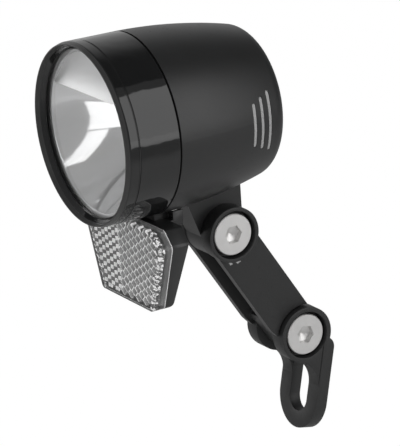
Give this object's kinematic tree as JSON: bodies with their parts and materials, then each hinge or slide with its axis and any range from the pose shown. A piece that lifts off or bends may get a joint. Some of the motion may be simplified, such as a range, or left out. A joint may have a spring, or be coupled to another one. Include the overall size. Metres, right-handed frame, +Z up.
{
  "type": "bicycle headlight",
  "caption": "Round bicycle headlight with a gloss front ring, side light slits and a clear reflex reflector, on a jointed arm with a slotted fork bracket.",
  "frame": {"origin": "centre of the fork bracket's slot, on the rear face that lies against the fork", "axes": "+Z up, the lamp's beam along -Y, +X towards the side with the bolt heads (the bicycle's left)"},
  "size_m": [0.0458, 0.0641, 0.1137],
  "materials": {
    "body_satin": "satin moulded black",
    "bezel_gloss": "polished black",
    "lens_clear": "clear polycarbonate",
    "rubber_black": "soft matte",
    "reflector_bright": "vacuum-metallised",
    "board_green": "solder mask",
    "led_yellow": "phosphor under clear resin",
    "sink_aluminium": "plain extruded",
    "driver_dark": "moulded components",
    "screw_steel": "zinc plated",
    "side_clear": "clear polycarbonate, lightly frosted",
    "reflex_clear": "clear prismatic acrylic",
    "holder_black": "satin moulded black",
    "bolt_steel": "satin zinc",
    "arm_black": "glass-filled nylon, fine matte",
    "bracket_black": "glass-filled nylon, fine matte"
  },
  "bodies": {
    "bracket": {"fork_bracket": "bracket_black", "lower_bolt": "bolt_steel", "lower_nut": "bolt_steel"},
    "arm": {"arm": "arm_black", "upper_bolt": "bolt_steel", "upper_nut": "bolt_steel"},
    "head": {"housing": "body_satin", "bezel": "bezel_gloss", "front_lens": "lens_clear", "lens_seal": "rubber_black", "seam_seal": "rubber_black", "main_reflector": "reflector_bright", "reflector_hood": "reflector_bright", "led_board": "board_green", "led_package": "led_yellow", "heat_sink": "sink_aluminium", "driver_board": "board_green", "driver_parts": "driver_dark", "board_screws": "screw_steel", "side_light_left": "side_clear", "side_light_right": "side_clear", "cable_grommet": "rubber_black", "reflex_lens": "reflex_clear", "reflex_holder": "holder_black"}
  },
  "joints": [
    {"name": "arm_pivot", "type": "hinge", "parent": "bracket", "child": "arm", "pos_m": [0, -0.00541, 0.01689], "axis": [1, 0, 0], "range_deg": [-65, 90]},
    {"name": "head_pivot", "type": "hinge", "parent": "arm", "child": "head", "pos_m": [0, -0.02488, 0.04806], "axis": [1, 0, 0], "range_deg": [-40, 70]}
  ]
}
